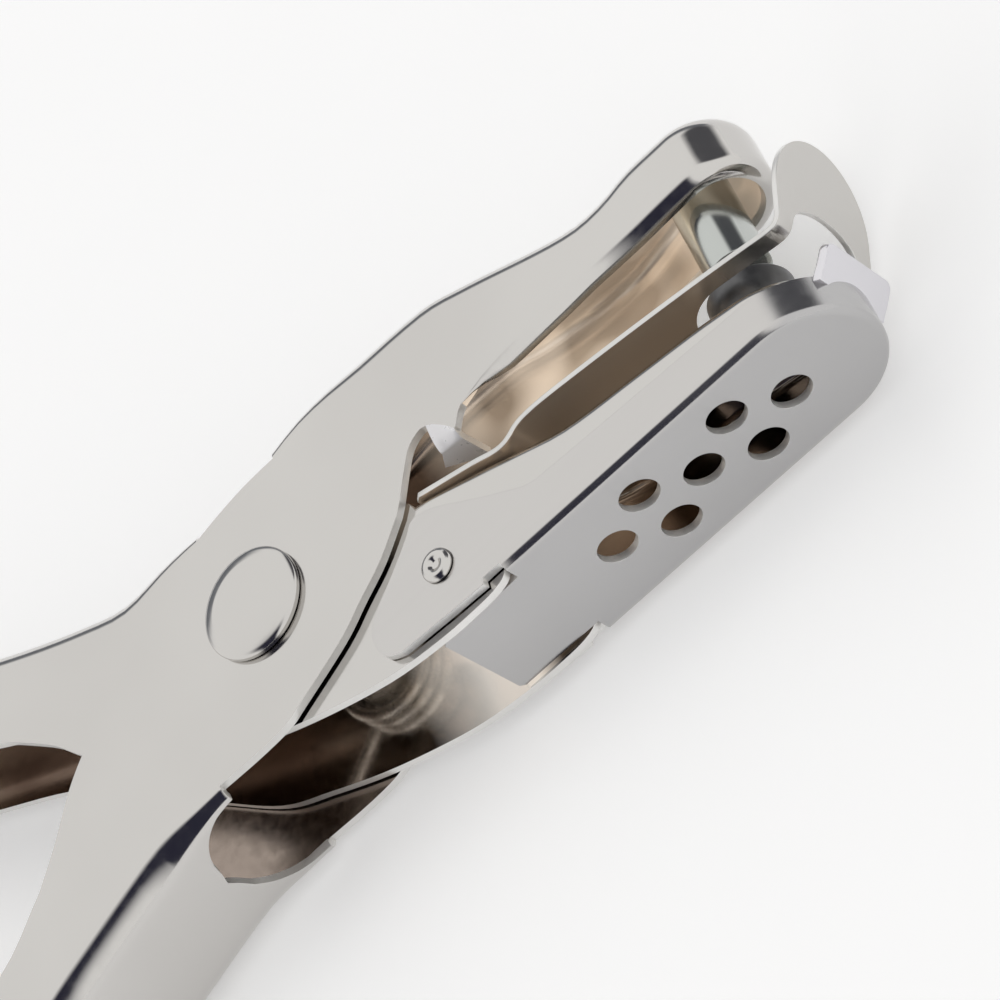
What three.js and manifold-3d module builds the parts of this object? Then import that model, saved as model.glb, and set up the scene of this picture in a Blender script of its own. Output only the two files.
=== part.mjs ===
// Single-hole hand punch pliers pressed from nickel-plated sheet steel: two crossed channel
// levers on one rivet, a round punch and die, a spring-strip stripper, and a chip catcher that
// swings down on two small rivets. Millimetres. The tool lies on its side: +X runs from the
// pivot to the nose, +Y from the lower jaw to the upper jaw, +Z along the pivot rivet.
// Inside this file z is counted from the tool's middle plane; the last lines lift it so that
// the far rivet head's flat face lies at z = 0.

import * as THREE from 'three';
import { mergeVertices } from 'three/addons/utils/BufferGeometryUtils.js';
import Module from 'manifold-3d';

const wasm = await Module();
wasm.setup();

// ---------------------------------------------------------------- driving dimensions
const LEVER_SHEET = 0.9;
const RUNNING_GAP = 0.3;
const LOWER_OUT = 7.15; // lower lever, outer half-width
const LOWER_IN = LOWER_OUT - LEVER_SHEET;
const UPPER_IN = LOWER_OUT + RUNNING_GAP;
const UPPER_OUT = UPPER_IN + LEVER_SHEET;
const COVER_SHEET = 0.75;
const COVER_IN = LOWER_OUT + RUNNING_GAP;
const COVER_OUT = COVER_IN + COVER_SHEET;
const FOLD = 3; // outside radii of the pressed folds
const FOLD_START = 1.3; // where a web begins
const LOWER_FOLD = 1.8;
const LOWER_FOLD_START = 1;
const HANDLE_HALF = 7.7; // the outer lever's handle is a little narrower
const HANDLE_WEB_ARC = 7.1; // round end of the outer lever's handle web
const HANDLE_WEB_END = -11.5;
const COVER_FOLD = 0.8;
const NOSE_CENTRE = 56.3; // centre of the lower jaw's half-round nose
const UPPER_NOSE_CENTRE = 57.3; // the upper jaw narrows towards its nose
const UPPER_NOSE_HALF = 5.9;
const HANDLE_CENTRE = -84; // centre of the half-round handle ends

const CLOSE_ANGLE = THREE.MathUtils.degToRad(5.5); // squeeze from rest to fully closed
const PIVOT_SHANK = 2.4;
const PIVOT_HOLE = 2.55;
const RIVET_HEAD = 5.8;
const RIVET_HEAD_IN = UPPER_OUT + 0.1;
const REST_HEIGHT = RIVET_HEAD_IN + 1.15;

const PUNCH_X = 56;
const PUNCH_RADIUS = 3.175;
const PUNCH_TIP = -2.6;
const PUNCH_TAIL = 2;
const TAIL_CLEARANCE = 0.1;
const DIE_RADIUS = 4.3;
const DIE_TOP = -5.3;
const DIE_SHANK = 3.9;
const DIE_BORE = 3.25;

const STRIP_HALF = 7.3;
const STRIP_SHEET = 0.6;
const STRIP_SLOT = 5.1; // half-width of the opening round the die
const STRIP_SLOT_X = 55.1;
const FOOT_X = 22.6; // a point on the foot's centre line, and its slope
const FOOT_Y = -3.42;
const FOOT_SLOPE = -0.25;
const FOOT_REAR = 19.4;
const FOOT_FRONT = 26.3;
const FAN_FOOT = [63.9, -7.6];
const FAN_ANGLE = THREE.MathUtils.degToRad(68);
const FAN_STRAIGHT = 3.9; // below the half-round top
const STRIP_RIVETS = [[21.35, 3.5], [21.35, -3.5]];
const STRIP_RIVET_HOLE = 0.9;
const TAB_REAR = 23.4; // throat tabs, bent in from both walls of the upper lever
const TAB_FRONT = 25.7;
const TAB_REACH = 2.6;
const TAB_FACE = -0.85;

const CATCHER_PIN = [19.2, -12.1];
const CATCHER_HOLE = 1.05;
const COVER_PLATE = -17.75; // outside face of the bottom plate
const COVER_RIM = -13.3;
const COVER_REAR = 23.6;
const COVER_NOSE = NOSE_CENTRE + 0.35;
const TONGUE_REAR = 15.1;
const TONGUE_HALF = LOWER_IN - RUNNING_GAP;
const THUMB_HALF = 5;
const VENT_RADIUS = 2.05;
const VENT_MIDDLE = 43.7;
const VENT_PITCH = 5.5;
const VENT_ROW = 3.2;

const SPACER_RADIUS = 3.4;
const COIL = { radius: 4.7, pitch: 1.75, turns: 3.31, start: THREE.MathUtils.degToRad(68) };
const SPRING_LEGS = [[-20, 14.6], [-21, -12.2]];
const SPRING_WIRE = 0.7; // wire radius

// ---------------------------------------------------------------- solids from three.js geometry
function solid(geometry) {
  const bare = geometry.clone();
  bare.deleteAttribute('normal');
  bare.deleteAttribute('uv');
  const merged = mergeVertices(bare, 1e-4);
  const index = Array.from(merged.index.array);
  const triangles = [];
  for (let i = 0; i < index.length; i += 3) {
    const [a, b, c] = index.slice(i, i + 3);
    if (a !== b && b !== c && c !== a) triangles.push(a, b, c);
  }
  return new wasm.Manifold(new wasm.Mesh({
    numProp: 3,
    vertProperties: new Float32Array(merged.attributes.position.array),
    triVerts: new Uint32Array(triangles),
  }));
}

const joined = (first, ...others) => others.reduce((whole, piece) => whole.add(piece), first);
const cut = (first, ...tools) => tools.reduce((whole, tool) => whole.subtract(tool), first);

// Solid of an XY outline between two z levels.
function plate(shape, zLow, zHigh) {
  const geometry = new THREE.ExtrudeGeometry(shape, {
    depth: zHigh - zLow, bevelEnabled: false, curveSegments: 2,
  });
  return solid(geometry.translate(0, 0, zLow));
}

function bothSides(shape, zInner, zOuter) {
  return joined(plate(shape, zInner, zOuter), plate(shape, -zOuter, -zInner));
}

// Rod or disc along z.
function rodZ(radius, zLow, zHigh, x = 0, y = 0, sides = 32) {
  const geometry = new THREE.CylinderGeometry(radius, radius, zHigh - zLow, sides);
  geometry.rotateX(Math.PI / 2);
  return solid(geometry.translate(x, y, (zLow + zHigh) / 2));
}

// Rod along y.
function rodY(radius, yLow, yHigh, x, z, sides = 24) {
  const geometry = new THREE.CylinderGeometry(radius, radius, yHigh - yLow, sides);
  return solid(geometry.translate(x, (yLow + yHigh) / 2, z));
}

function box(low, high) {
  const size = high.map((value, i) => value - low[i]);
  const middle = high.map((value, i) => (value + low[i]) / 2);
  return solid(new THREE.BoxGeometry(...size).translate(...middle));
}

// Smooth height y(x) through a few points, sorted by x.
function heights(points) {
  const last = points.length - 1;
  const slope = points.map((point, i) => {
    const before = points[Math.max(i - 1, 0)];
    const after = points[Math.min(i + 1, last)];
    return (after[1] - before[1]) / (after[0] - before[0]);
  });
  return (x) => {
    if (x <= points[0][0]) return points[0][1] + slope[0] * (x - points[0][0]);
    if (x >= points[last][0]) return points[last][1] + slope[last] * (x - points[last][0]);
    const i = points.findIndex((point) => point[0] > x) - 1;
    const span = points[i + 1][0] - points[i][0];
    const t = (x - points[i][0]) / span;
    const rise = THREE.MathUtils.lerp(points[i][1], points[i + 1][1], t * t * (3 - 2 * t));
    return rise + span * t * (1 - t) * (slope[i] * (1 - t) - slope[i + 1] * t);
  };
}

const FOLD_STEPS = 3;
const NOSE_STEPS = 8;

// Closed dome over a plan with one half-round nose. Its flat back follows top(x), its open side
// lip(x), its half-width half(x), and the edge between back and wall has radius fold(x).
// web = 1 puts the back on +Y, web = -1 on -Y. The nose points to +X when nose > rear.
function dome({ rear, nose, half, top, lip, fold, web, steps = 9 }) {
  const ahead = Math.sign(nose - rear);
  const rings = [{ inset: 0, y: lip }];
  for (let i = 0; i <= FOLD_STEPS; i += 1) {
    const angle = (i / FOLD_STEPS) * Math.PI / 2;
    rings.push({
      inset: 1 - Math.cos(angle),
      y: (x) => top(x) - web * fold(x) * (1 - Math.sin(angle)),
    });
  }
  const planAt = (inset) => {
    const plan = [];
    for (let i = 0; i < steps; i += 1) {
      const x = THREE.MathUtils.lerp(rear, nose, i / steps);
      plan.push([x, half(x) - inset * fold(x)]);
    }
    for (let i = 0; i <= NOSE_STEPS; i += 1) {
      const angle = (i / NOSE_STEPS) * Math.PI / 2;
      const reach = half(nose) - inset * fold(nose);
      plan.push([nose + ahead * reach * Math.sin(angle), reach * Math.cos(angle)]);
    }
    plan.at(-1)[1] = 0;
    return plan;
  };
  const positions = [];
  const count = planAt(0).length;
  for (const { inset, y } of rings) {
    for (const [x, z] of planAt(inset)) {
      positions.push(x, y(x), z, x, y(x), -z);
    }
  }
  const at = (ring, i, side) => (ring * count + i) * 2 + side;
  const faces = [];
  const quad = (a, b, c, d) => faces.push(a, b, c, a, c, d);
  const last = rings.length - 1;
  for (let ring = 0; ring < last; ring += 1) {
    for (let i = 0; i < count - 1; i += 1) {
      quad(at(ring, i, 0), at(ring, i + 1, 0), at(ring + 1, i + 1, 0), at(ring + 1, i, 0));
      quad(at(ring, i + 1, 1), at(ring, i, 1), at(ring + 1, i, 1), at(ring + 1, i + 1, 1));
    }
    quad(at(ring, 0, 1), at(ring, 0, 0), at(ring + 1, 0, 0), at(ring + 1, 0, 1));
  }
  for (let i = 0; i < count - 1; i += 1) {
    quad(at(0, i, 1), at(0, i + 1, 1), at(0, i + 1, 0), at(0, i, 0));
    quad(at(last, i, 0), at(last, i + 1, 0), at(last, i + 1, 1), at(last, i, 1));
  }
  if (web * ahead < 0) {
    for (let i = 0; i < faces.length; i += 3) {
      [faces[i + 1], faces[i + 2]] = [faces[i + 2], faces[i + 1]];
    }
  }
  const geometry = new THREE.BufferGeometry();
  geometry.setAttribute('position', new THREE.Float32BufferAttribute(positions, 3));
  geometry.setIndex(faces);
  return solid(geometry);
}

// Pressed channel: the dome with the same dome, one sheet smaller, taken out of it.
function channel(form, sheet) {
  const ahead = Math.sign(form.nose - form.rear);
  const hollow = dome({
    ...form,
    rear: form.rear - ahead * 2,
    half: (x) => form.half(x) - sheet,
    top: (x) => form.top(x) - form.web * sheet,
    lip: (x) => form.lip(x) - form.web * 4,
    fold: (x) => form.fold(x) - sheet,
  });
  return cut(dome(form), hollow);
}

// Outline whose corners are points and whose round stretches are splines: [[x, y], ...] is a
// run of straight lines and { spline: [[x, y], ...] } is one smooth curve.
function outline(runs) {
  const shape = new THREE.Shape();
  let started = false;
  for (const run of runs) {
    const points = (run.spline ?? run).map(([x, y]) => new THREE.Vector2(x, y));
    if (!started) shape.moveTo(points[0].x, points[0].y);
    if (run.spline) {
      if (started) shape.lineTo(points[0].x, points[0].y);
      shape.splineThru(points.slice(1));
    } else {
      points.forEach((point) => shape.lineTo(point.x, point.y));
    }
    started = true;
  }
  return shape;
}

// Bent sheet seen from the side: a centre line thickened by half the sheet each way.
function ribbon(points, sheet) {
  const line = points.map(([x, y]) => new THREE.Vector2(x, y));
  const normals = line.map((point, i) => {
    const before = line[Math.max(i - 1, 0)];
    const after = line[Math.min(i + 1, line.length - 1)];
    const along = after.clone().sub(before).normalize();
    return new THREE.Vector2(-along.y, along.x).multiplyScalar(sheet / 2);
  });
  const upper = line.map((point, i) => point.clone().add(normals[i]));
  const lower = line.map((point, i) => point.clone().sub(normals[i]));
  return new THREE.Shape([...upper, ...lower.reverse()]);
}

// ---------------------------------------------------------------- levers
const ease = (from, to, xFrom, xTo) => (x) => THREE.MathUtils.lerp(
  from, to, THREE.MathUtils.smoothstep((x - xFrom) / (xTo - xFrom), 0, 1),
);

const upperBack = heights([
  [8, 14.4], [13, 15.7], [18, 16.2], [28.5, 15.9], [33.8, 14.5], [40.7, 12.8], [45.5, 12.05],
  [49, 12.4], [52.3, 13.2], [56, 13.3], [60, 13.3], [66, 13.3],
]);
const upperLip = heights([
  [8, 11], [20, 9], [27, 4], [31, 1.7], [34, 1.8], [41, 3], [45, 3.8], [50, 4.3], [56, 4.6], [66, 4.7],
]);
const lowerHandleBack = heights([
  [-94, -37.5], [-80, -35.2], [-60, -29.6], [-40, -23.4], [-20, -17], [-14, -15.9], [-10, -15.5],
]);
const lowerHandleLip = heights([
  [-94, -31.5], [-84, -25], [-60, -18.4], [-40, -12.4],
  [-33.5, -8.6], [-30, -6], [-22, -5], [-10, -8],
]);

function upperLever() {
  const jaw = channel({
    rear: 8, nose: UPPER_NOSE_CENTRE, half: ease(UPPER_OUT, UPPER_NOSE_HALF, 30, 52),
    top: upperBack, lip: upperLip, fold: ease(FOLD_START, FOLD, 8, 22), web: 1, steps: 12,
  }, LEVER_SHEET);
  const handle = channel({
    rear: -11, nose: HANDLE_CENTRE, half: ease(UPPER_OUT, HANDLE_HALF, -30, -44),
    top: lowerHandleBack, lip: lowerHandleLip, fold: ease(FOLD_START, FOLD, -11, -22), web: -1,
    steps: 14,
  }, LEVER_SHEET);
  const wall = outline([
    { spline: [[32, 1.7], [30, 1.7], [28.4, 1.2], [27.2, 0]] },
    { spline: [[26.9, -0.2], [26.1, 0.8], [24.6, 1.8], [22.6, 1.8], [20.8, 0.7]] },
    { spline: [[20.8, 0.7], [19.6, -1], [18.4, -2.8]] },
    { spline: [[17.2, -4.2], [14.1, -6.7], [10.5, -8.8], [6.9, -10.9], [0.5, -13.4], [-2, -14.4]] },
    { spline: [[-2, -14.4], [-6, -14.9], [-11, -14.6]] },
    [[-14, -13], [-28, -15.5]],
    { spline: [[-30, -5.2], [-27, -1.6], [-23.6, 1.2], [-18.2, 4.6], [-10, 9.2], [-5.8, 11.1]] },
    { spline: [[-5.8, 11.1], [-2, 12.1], [2.1, 12.9], [6, 13.5], [8, 13.5]] },
    [[24, 12], [32, 11]],
  ]);
  return cut(
    joined(jaw, handle, bothSides(wall, UPPER_IN, UPPER_OUT), throatTabs()),
    rodY(HANDLE_WEB_ARC, -24, -9, HANDLE_WEB_END, 0, 40),
    rodZ(PIVOT_HOLE, -UPPER_OUT - 1, UPPER_OUT + 1),
    rodY(PUNCH_TAIL + TAIL_CLEARANCE, 8, 16, PUNCH_X, 0),
  );
}

// Their lower faces lie parallel to the strip's foot when the jaws are closed.
function throatTabs() {
  const slope = FOOT_SLOPE + Math.tan(CLOSE_ANGLE);
  const faceFront = TAB_FACE + slope * (TAB_FRONT - TAB_REAR);
  const tab = outline([[
    [TAB_REAR, TAB_FACE + LEVER_SHEET], [TAB_REAR, TAB_FACE],
    [TAB_FRONT, faceFront], [TAB_FRONT, faceFront + LEVER_SHEET],
  ]]);
  const root = outline([[
    [TAB_REAR, 2.4], [TAB_REAR, TAB_FACE], [TAB_FRONT, faceFront], [TAB_FRONT, 2.4],
  ]]);
  return joined(bothSides(tab, TAB_REACH, UPPER_OUT), bothSides(root, UPPER_IN, UPPER_OUT));
}

const lowerBack = heights([
  [20, -3.2], [26, -4.6], [31, -6.3], [36, -7.9], [45, -9], [52, -9.8], [58, -10.7], [66, -11.4],
]);
const lowerLip = heights([[19, -7], [24, -9], [30, -14], [36, -16.6], [66, -16.6]]);
const upperHandleBack = heights([
  [-94, 46.2], [-80, 43], [-60, 36], [-40, 26.6], [-27, 19.9], [-20, 16.7], [-15, 14.9], [-9, 14.55],
  [-4, 14.1],
]);
const upperHandleLip = heights([
  [-94, 40.6], [-84, 34], [-60, 25], [-40, 14.9], [-34, 11.3], [-30, 10], [-20, 9.5], [-6, 9.5],
]);

function lowerLever() {
  const jaw = channel({
    rear: 19, nose: NOSE_CENTRE, half: () => LOWER_OUT, top: lowerBack, lip: lowerLip,
    fold: ease(LOWER_FOLD_START, LOWER_FOLD, 19, 27), web: 1, steps: 11,
  }, LEVER_SHEET);
  const handle = channel({
    rear: -4, nose: HANDLE_CENTRE, half: () => LOWER_OUT, top: upperHandleBack,
    lip: upperHandleLip, fold: ease(FOLD_START, FOLD, -4, -16), web: 1, steps: 14,
  }, LEVER_SHEET);
  const wall = outline([
    { spline: [[36, -10], [31, -8.3], [27, -6.9], [23, -5.4], [19.2, -4.1]] },
    [[19.2, -2.9]],
    { spline: [[18.6, -2.6], [13, 1.4], [8, 6.4], [3, 10.5], [0, 12], [-4, 13.2]] },
    [[-18, 13.4], [-28, 16.4]],
    { spline: [[-31, 9.4], [-27.6, 5.8], [-24.9, 2.2], [-20, -2.6], [-13.8, -8.3]] },
    { spline: [[-13.8, -8.3], [-8.3, -11.1], [-2.2, -13.8], [4.2, -16], [10, -17.5]] },
    { spline: [[10, -17.5], [16, -18.2], [20.2, -18.2]] },
    { spline: [[20.2, -18.2], [21.6, -17.9], [22.5, -17.3], [23, -16.6]] },
    [[36, -16.6]],
  ]);
  const dieHole = tiltedToDie(rodY(DIE_SHANK + 0.1, -16, -4, 0, 0));
  return cut(
    joined(jaw, handle, bothSides(wall, LOWER_IN, LOWER_OUT)),
    rodZ(PIVOT_HOLE, -LOWER_OUT - 1, LOWER_OUT + 1),
    rodZ(CATCHER_HOLE, -LOWER_OUT - 1, LOWER_OUT + 1, ...CATCHER_PIN, 20),
    dieHole,
    ...stripRivetHoles(),
  );
}

// ---------------------------------------------------------------- punch and die
// The die leans forward so that its bore lines up with the punch when the jaws are closed.
function tiltedToDie(piece) {
  const tip = [
    PUNCH_X * Math.cos(CLOSE_ANGLE) + PUNCH_TIP * Math.sin(CLOSE_ANGLE),
    PUNCH_TIP * Math.cos(CLOSE_ANGLE) - PUNCH_X * Math.sin(CLOSE_ANGLE),
  ];
  const x = tip[0] + (DIE_TOP - tip[1]) * Math.tan(CLOSE_ANGLE);
  return piece.rotate([0, 0, -THREE.MathUtils.radToDeg(CLOSE_ANGLE)]).translate([x, DIE_TOP, 0]);
}

function punchPin() {
  const back = upperBack(PUNCH_X);
  const seat = back - LEVER_SHEET - RUNNING_GAP / 2;
  const profile = [
    [0, PUNCH_TIP + 0.5], [PUNCH_RADIUS - 0.5, PUNCH_TIP], [PUNCH_RADIUS, PUNCH_TIP + 0.05],
    [PUNCH_RADIUS, seat - 0.3], [PUNCH_RADIUS - 0.3, seat], [PUNCH_TAIL, seat], [PUNCH_TAIL, back],
    [PUNCH_TAIL - 0.4, back + 0.25], [0, back + 0.35],
  ].map(([r, y]) => new THREE.Vector2(r, y));
  return solid(new THREE.LatheGeometry(profile, 32).translate(PUNCH_X, 0, 0));
}

function dieButton() {
  const profile = [
    [DIE_BORE, -6.6], [DIE_SHANK, -6.6], [DIE_SHANK, -4.8], [DIE_RADIUS, -4.8], [DIE_RADIUS, -0.35],
    [DIE_RADIUS - 0.35, 0], [DIE_BORE, 0], [DIE_BORE, -6.6],
  ].map(([r, y]) => new THREE.Vector2(r, y));
  return tiltedToDie(solid(new THREE.LatheGeometry(profile, 40)));
}

// ---------------------------------------------------------------- stripper strip
const footHeight = (x) => FOOT_Y + FOOT_SLOPE * (x - FOOT_X);
const footAngle = Math.atan(FOOT_SLOPE);

// Holes square to the sloping foot.
function stripRivetHoles() {
  return STRIP_RIVETS.map(([x, z]) => rodY(STRIP_RIVET_HOLE, -4, 3, 0, 0, 20)
    .rotate([0, 0, THREE.MathUtils.radToDeg(footAngle)])
    .translate([x, footHeight(x), z]));
}

function stripperStrip() {
  const lean = new THREE.Vector2(Math.cos(FAN_ANGLE), Math.sin(FAN_ANGLE));
  const overlap = 1.2;
  const centreLine = [
    [FOOT_REAR, footHeight(FOOT_REAR)], [FOOT_X, FOOT_Y], [FOOT_FRONT, footHeight(FOOT_FRONT)],
    [28.6, -5.05], [30, -5.3], [31, -4.9], [32, -4.45], [33.4, -4.2],
    [36.8, -4.4], [46, -5.4], [55.3, -6.6], [62.4, -7.7], [63.3, -7.75], [64, -7.35],
    [FAN_FOOT[0] + lean.x * overlap, FAN_FOOT[1] + lean.y * overlap],
  ];
  const strip = plate(ribbon(centreLine, STRIP_SHEET), -STRIP_HALF, STRIP_HALF);

  const fan = new THREE.Shape();
  fan.moveTo(0.8, -STRIP_HALF);
  fan.lineTo(FAN_STRAIGHT, -STRIP_HALF);
  fan.absarc(FAN_STRAIGHT, 0, STRIP_HALF, -Math.PI / 2, Math.PI / 2, false);
  fan.lineTo(0.8, STRIP_HALF);
  const basis = new THREE.Matrix4().makeBasis(
    new THREE.Vector3(lean.x, lean.y, 0),
    new THREE.Vector3(0, 0, 1),
    new THREE.Vector3(lean.y, -lean.x, 0),
  ).setPosition(FAN_FOOT[0], FAN_FOOT[1], 0);
  const inPlane = (shape, thickness) => solid(new THREE.ExtrudeGeometry(shape, {
    depth: thickness, bevelEnabled: false, curveSegments: 24,
  }).translate(0, 0, -thickness / 2).applyMatrix4(basis));

  const arch = new THREE.Shape();
  arch.moveTo(-1.5, -STRIP_SLOT);
  arch.lineTo(0.4, -STRIP_SLOT);
  arch.absellipse(0.4, 0, 2.9, STRIP_SLOT, -Math.PI / 2, Math.PI / 2, false, 0);
  arch.lineTo(-1.5, STRIP_SLOT);

  const slot = joined(
    rodY(STRIP_SLOT, -12, -2, STRIP_SLOT_X, 0, 36),
    box([STRIP_SLOT_X, -12, -STRIP_SLOT], [FAN_FOOT[0] + 0.6, -6.2, STRIP_SLOT]),
  );
  return cut(joined(strip, inPlane(fan, STRIP_SHEET)), slot, inPlane(arch, 2.4), ...stripRivetHoles());
}

// Set rivet through the strip's foot and the lever's web, square to the sloping foot.
function stripRivet([x, z]) {
  const profile = [
    [0, -2.3], [1.35, -2.3], [1.35, -1.85], [0.8, -1.7], [0.8, 0.45], [1.5, 0.5], [1.4, 0.9],
    [0.9, 1.15], [0, 1.25],
  ].map(([r, y]) => new THREE.Vector2(r, y));
  const geometry = new THREE.LatheGeometry(profile, 20);
  geometry.rotateZ(footAngle);
  return solid(geometry.translate(x, footHeight(x), z));
}

// ---------------------------------------------------------------- chip catcher
function chipCatcher() {
  const shell = channel({
    rear: COVER_REAR, nose: COVER_NOSE, half: () => COVER_OUT, top: () => COVER_PLATE,
    lip: () => COVER_RIM, fold: () => COVER_FOLD, web: -1,
  }, COVER_SHEET);
  const flange = outline([
    { spline: [[COVER_NOSE, COVER_RIM], [45, -12.8], [34.4, -12.3], [31, -12], [28, -10.4]] },
    { spline: [[28, -10.4], [24.8, -8.4], [21.6, -6.3], [19.6, -5.5]] },
    { spline: [[19.6, -5.5], [18.4, -5.6], [17.2, -6.8], [14.4, -9], [11.6, -11], [10.2, -12.6]] },
    { spline: [[10.2, -12.6], [9.9, -14.4], [10.5, -16.2], [12.2, -17.1]] },
    [[18.4, -17.5], [COVER_REAR, -17.7], [COVER_REAR + 1, -17.2], [COVER_NOSE, -16.8]],
  ]);
  const tongue = box(
    [TONGUE_REAR, COVER_PLATE, -TONGUE_HALF],
    [COVER_REAR + 2, COVER_PLATE + COVER_SHEET, TONGUE_HALF],
  );
  const relief = outline([[
    [COVER_REAR - 1, -19], [COVER_REAR + 1.4, -19], [COVER_REAR + 1.4, -16.6], [COVER_REAR - 1, -16.6],
  ]]);
  const thumbLine = [[64.1, -14.2], [64.7, -13.7], [65.5, -12.75], [66.5, -11.7]];
  const thumbTab = plate(ribbon(thumbLine, COVER_SHEET), -THUMB_HALF, THUMB_HALF);
  const vents = [];
  for (let i = -2; i <= 2; i += 1) {
    const rows = i % 2 === 0 ? [0] : [VENT_ROW, -VENT_ROW];
    rows.forEach((z) => vents.push(rodY(VENT_RADIUS, -20, -15, VENT_MIDDLE + i * VENT_PITCH, z, 20)));
  }
  return cut(
    joined(shell, bothSides(flange, COVER_IN, COVER_OUT), tongue, thumbTab),
    bothSides(relief, TONGUE_HALF, COVER_IN - 0.1),
    ...vents,
    rodZ(CATCHER_HOLE, -COVER_OUT - 1, COVER_OUT + 1, ...CATCHER_PIN, 20),
  );
}

function catcherRivet(side) {
  const tail = LOWER_IN - 0.15;
  const face = COVER_OUT + 0.1;
  const profile = [
    [0, tail - 0.5], [1.3, tail - 0.5], [1.4, tail - 0.1], [0.95, tail], [0.95, face], [1.75, face],
    [1.75, face + 0.2], [1.5, face + 0.5], [1, face + 0.6], [0.5, face + 0.3], [0, face + 0.25],
  ].map(([r, y]) => new THREE.Vector2(r, y));
  const geometry = new THREE.LatheGeometry(profile, 24);
  geometry.rotateX(side * Math.PI / 2);
  return solid(geometry.translate(CATCHER_PIN[0], CATCHER_PIN[1], 0));
}

// ---------------------------------------------------------------- pivot and spring
function pivotRivet() {
  const edge = 0.35;
  const half = [
    [PIVOT_SHANK, RIVET_HEAD_IN], [RIVET_HEAD - 0.1, RIVET_HEAD_IN], [RIVET_HEAD, RIVET_HEAD_IN + 0.3],
    [RIVET_HEAD, REST_HEIGHT - edge], [RIVET_HEAD - 0.1, REST_HEIGHT - 0.1],
    [RIVET_HEAD - edge, REST_HEIGHT], [0, REST_HEIGHT],
  ];
  const mirrored = half.map(([r, y]) => [r, -y]).reverse();
  const profile = [...mirrored, ...half].map(([r, y]) => new THREE.Vector2(r, y));
  const geometry = new THREE.LatheGeometry(profile, 32);
  geometry.rotateX(Math.PI / 2);
  return solid(geometry);
}

function pivotSpacer() {
  const long = LOWER_IN - 0.15;
  const profile = [
    [PIVOT_HOLE, -long], [SPACER_RADIUS, -long], [SPACER_RADIUS, long], [PIVOT_HOLE, long],
    [PIVOT_HOLE, -long],
  ].map(([r, y]) => new THREE.Vector2(r, y));
  const geometry = new THREE.LatheGeometry(profile, 32);
  geometry.rotateX(Math.PI / 2);
  return solid(geometry);
}

// Centre line of the torsion spring: leg, coil, leg.
class SpringLine extends THREE.Curve {
  getPoint(t, target = new THREE.Vector3()) {
    const [first, last] = SPRING_LEGS;
    const share = 0.14; // of the parameter, for each leg
    const coil = (u) => {
      const angle = COIL.start + u * COIL.turns * Math.PI * 2;
      const z = (u - 0.5) * COIL.pitch * COIL.turns;
      return [COIL.radius * Math.cos(angle), COIL.radius * Math.sin(angle), z];
    };
    if (t < share) {
      const from = coil(0);
      const u = 1 - t / share;
      return target.set(
        THREE.MathUtils.lerp(from[0], first[0], u),
        THREE.MathUtils.lerp(from[1], first[1], u),
        from[2],
      );
    }
    if (t > 1 - share) {
      const from = coil(1);
      const u = (t - 1 + share) / share;
      return target.set(
        THREE.MathUtils.lerp(from[0], last[0], u),
        THREE.MathUtils.lerp(from[1], last[1], u),
        from[2],
      );
    }
    return target.set(...coil((t - share) / (1 - 2 * share)));
  }
}

function torsionSpring() {
  const section = new THREE.Shape().absarc(0, 0, SPRING_WIRE, 0, Math.PI * 2);
  return solid(new THREE.ExtrudeGeometry(section, {
    steps: 84, extrudePath: new SpringLine(), bevelEnabled: false, curveSegments: 4,
  }));
}

// ---------------------------------------------------------------- scene graph
const FINISH = {
  nickel: { color: 0xc9c6c2, roughness: 0.22, metalness: 1 },
  satin: { color: 0xbdbab6, roughness: 0.34, metalness: 1 },
  toolSteel: { color: 0x8d8f8e, roughness: 0.2, metalness: 1 },
  blackened: { color: 0x3c3d3e, roughness: 0.42, metalness: 1 },
  springSteel: { color: 0xa9a6a1, roughness: 0.3, metalness: 1 },
};

function node(name, piece, finish) {
  const { vertProperties, triVerts } = piece.getMesh();
  const geometry = new THREE.BufferGeometry();
  geometry.setAttribute('position', new THREE.BufferAttribute(vertProperties, 3));
  geometry.setIndex(new THREE.BufferAttribute(triVerts, 1));
  geometry.computeVertexNormals();
  const mesh = new THREE.Mesh(geometry, new THREE.MeshStandardMaterial(FINISH[finish]));
  mesh.name = name;
  return mesh;
}

const tool = new THREE.Group();
tool.add(
  node('lower_lever', lowerLever(), 'nickel'),
  node('upper_lever', upperLever(), 'nickel'),
  node('pivot_rivet', pivotRivet(), 'nickel'),
  node('pivot_spacer', pivotSpacer(), 'springSteel'),
  node('torsion_spring', torsionSpring(), 'springSteel'),
  node('punch_pin', punchPin(), 'toolSteel'),
  node('die_button', dieButton(), 'blackened'),
  node('stripper_strip', stripperStrip(), 'satin'),
  node('chip_catcher', chipCatcher(), 'satin'),
);
STRIP_RIVETS.forEach((place, i) => {
  tool.add(node(`strip_rivet_${i + 1}`, stripRivet(place), 'nickel'));
});
tool.add(
  node('catcher_rivet_near', catcherRivet(1), 'nickel'),
  node('catcher_rivet_far', catcherRivet(-1), 'nickel'),
);
tool.position.z = REST_HEIGHT;

const part = new THREE.Group();
part.add(tool);
export default part;
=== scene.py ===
"""Single-hole hand punch pliers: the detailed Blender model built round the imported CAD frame.

Lengths inside the shape code are millimetres in the tool's own axes: x from the pivot to the
nose, y from the lower jaw to the upper jaw, z from the middle plane along the pivot rivet.
"""

import math

import bmesh
import bpy
from mathutils import Matrix, Vector


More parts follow.
